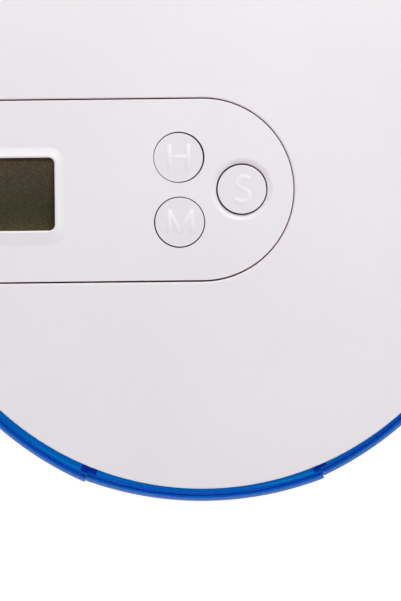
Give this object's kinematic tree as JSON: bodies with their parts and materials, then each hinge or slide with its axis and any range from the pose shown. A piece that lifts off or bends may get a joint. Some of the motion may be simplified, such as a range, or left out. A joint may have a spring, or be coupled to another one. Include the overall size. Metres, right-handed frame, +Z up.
{
  "type": "electronic pill box",
  "caption": "Low round pill box: translucent blue wedge drawers slide out from under a white cover, and a tongue-shaped timer with a display and round keys slides out of its top.",
  "frame": {"origin": "middle of the box, on the surface it stands on", "axes": "+Z up, square to the cover; -Y to the front; -X towards the timer's outer end at the rim"},
  "size_m": [0.0962, 0.0962, 0.0264],
  "materials": {
    "white_cover": "satin white moulded plastic",
    "white_base": "fine matt white moulded plastic",
    "white_key": "satin white moulded plastic",
    "clear_blue": "polished translucent blue plastic",
    "screw_steel": "zinc-plated steel",
    "foot_rubber": "matt rubber",
    "clear_window": "polished clear plastic",
    "lcd_glass": "reflective grey-green display",
    "silicone": "soft silicone",
    "board": "green solder mask",
    "chip_resin": "black potting resin",
    "brass": "brass disc",
    "cell_steel": "bright nickel",
    "contact": "spring metal, tin plated"
  },
  "bodies": {
    "box": {"base_plate": "white_base", "top_cover": "white_cover", "tray_deck": "white_base", "rim_panel": "clear_blue", "base_screw_1": "screw_steel", "base_screw_2": "screw_steel", "base_screw_3": "screw_steel", "base_screw_4": "screw_steel", "base_screw_5": "screw_steel", "rubber_foot_1": "foot_rubber", "rubber_foot_2": "foot_rubber", "rubber_foot_3": "foot_rubber", "rubber_foot_4": "foot_rubber"},
    "drawer_1": {"day_drawer_1": "clear_blue"},
    "drawer_2": {"day_drawer_2": "clear_blue"},
    "drawer_3": {"day_drawer_3": "clear_blue"},
    "drawer_4": {"day_drawer_4": "clear_blue"},
    "drawer_5": {"day_drawer_5": "clear_blue"},
    "drawer_6": {"day_drawer_6": "clear_blue"},
    "drawer_7": {"day_drawer_7": "clear_blue"},
    "timer": {"timer_front_shell": "white_cover", "timer_back_shell": "white_base", "display_window": "clear_window", "lcd_panel": "lcd_glass", "lcd_connector_strip": "silicone", "circuit_board": "board", "chip_blob": "chip_resin", "keypad_mat": "silicone", "buzzer_disc": "brass", "button_cell": "cell_steel", "battery_contact_top": "contact", "battery_contact_side": "contact", "timer_screw_1": "screw_steel", "timer_screw_2": "screw_steel", "timer_screw_3": "screw_steel", "timer_screw_4": "screw_steel"},
    "hour_key": {"hour_key": "white_key"},
    "minute_key": {"minute_key": "white_key"},
    "set_key": {"set_key": "white_key"},
    "battery_cap": {"battery_cap": "white_base"}
  },
  "joints": [
    {"name": "drawer_1_slide", "type": "slide", "parent": "box", "child": "drawer_1", "axis": [1, 0, 0], "range_m": [0, 0.0228]},
    {"name": "drawer_2_slide", "type": "slide", "parent": "box", "child": "drawer_2", "axis": [0.7071, 0.7071, 0], "range_m": [0, 0.0228]},
    {"name": "drawer_3_slide", "type": "slide", "parent": "box", "child": "drawer_3", "axis": [0, 1, 0], "range_m": [0, 0.0228]},
    {"name": "drawer_4_slide", "type": "slide", "parent": "box", "child": "drawer_4", "axis": [-0.7071, 0.7071, 0], "range_m": [0, 0.0228]},
    {"name": "drawer_5_slide", "type": "slide", "parent": "box", "child": "drawer_5", "axis": [-0.7071, -0.7071, 0], "range_m": [0, 0.0225]},
    {"name": "drawer_6_slide", "type": "slide", "parent": "box", "child": "drawer_6", "axis": [0, -1, 0], "range_m": [0, 0.0228]},
    {"name": "drawer_7_slide", "type": "slide", "parent": "box", "child": "drawer_7", "axis": [0.7071, -0.7071, 0], "range_m": [0, 0.0232]},
    {"name": "timer_slide", "type": "slide", "parent": "box", "child": "timer", "axis": [-1, 0, 0], "range_m": [0, 0.046]},
    {"name": "hour_key_press", "type": "slide", "parent": "timer", "child": "hour_key", "axis": [0, 0, -1], "range_m": [0, 0.0006], "stiffness_N_per_m": 1500},
    {"name": "minute_key_press", "type": "slide", "parent": "timer", "child": "minute_key", "axis": [0, 0, -1], "range_m": [0, 0.0006], "stiffness_N_per_m": 1500},
    {"name": "set_key_press", "type": "slide", "parent": "timer", "child": "set_key", "axis": [0, 0, -1], "range_m": [0, 0.0006], "stiffness_N_per_m": 1500},
    {"name": "battery_cap_turn", "type": "hinge", "parent": "timer", "child": "battery_cap", "pos_m": [-0.014, 0, 0.0185], "axis": [0, 0, 1], "range_deg": [0, 35]}
  ]
}
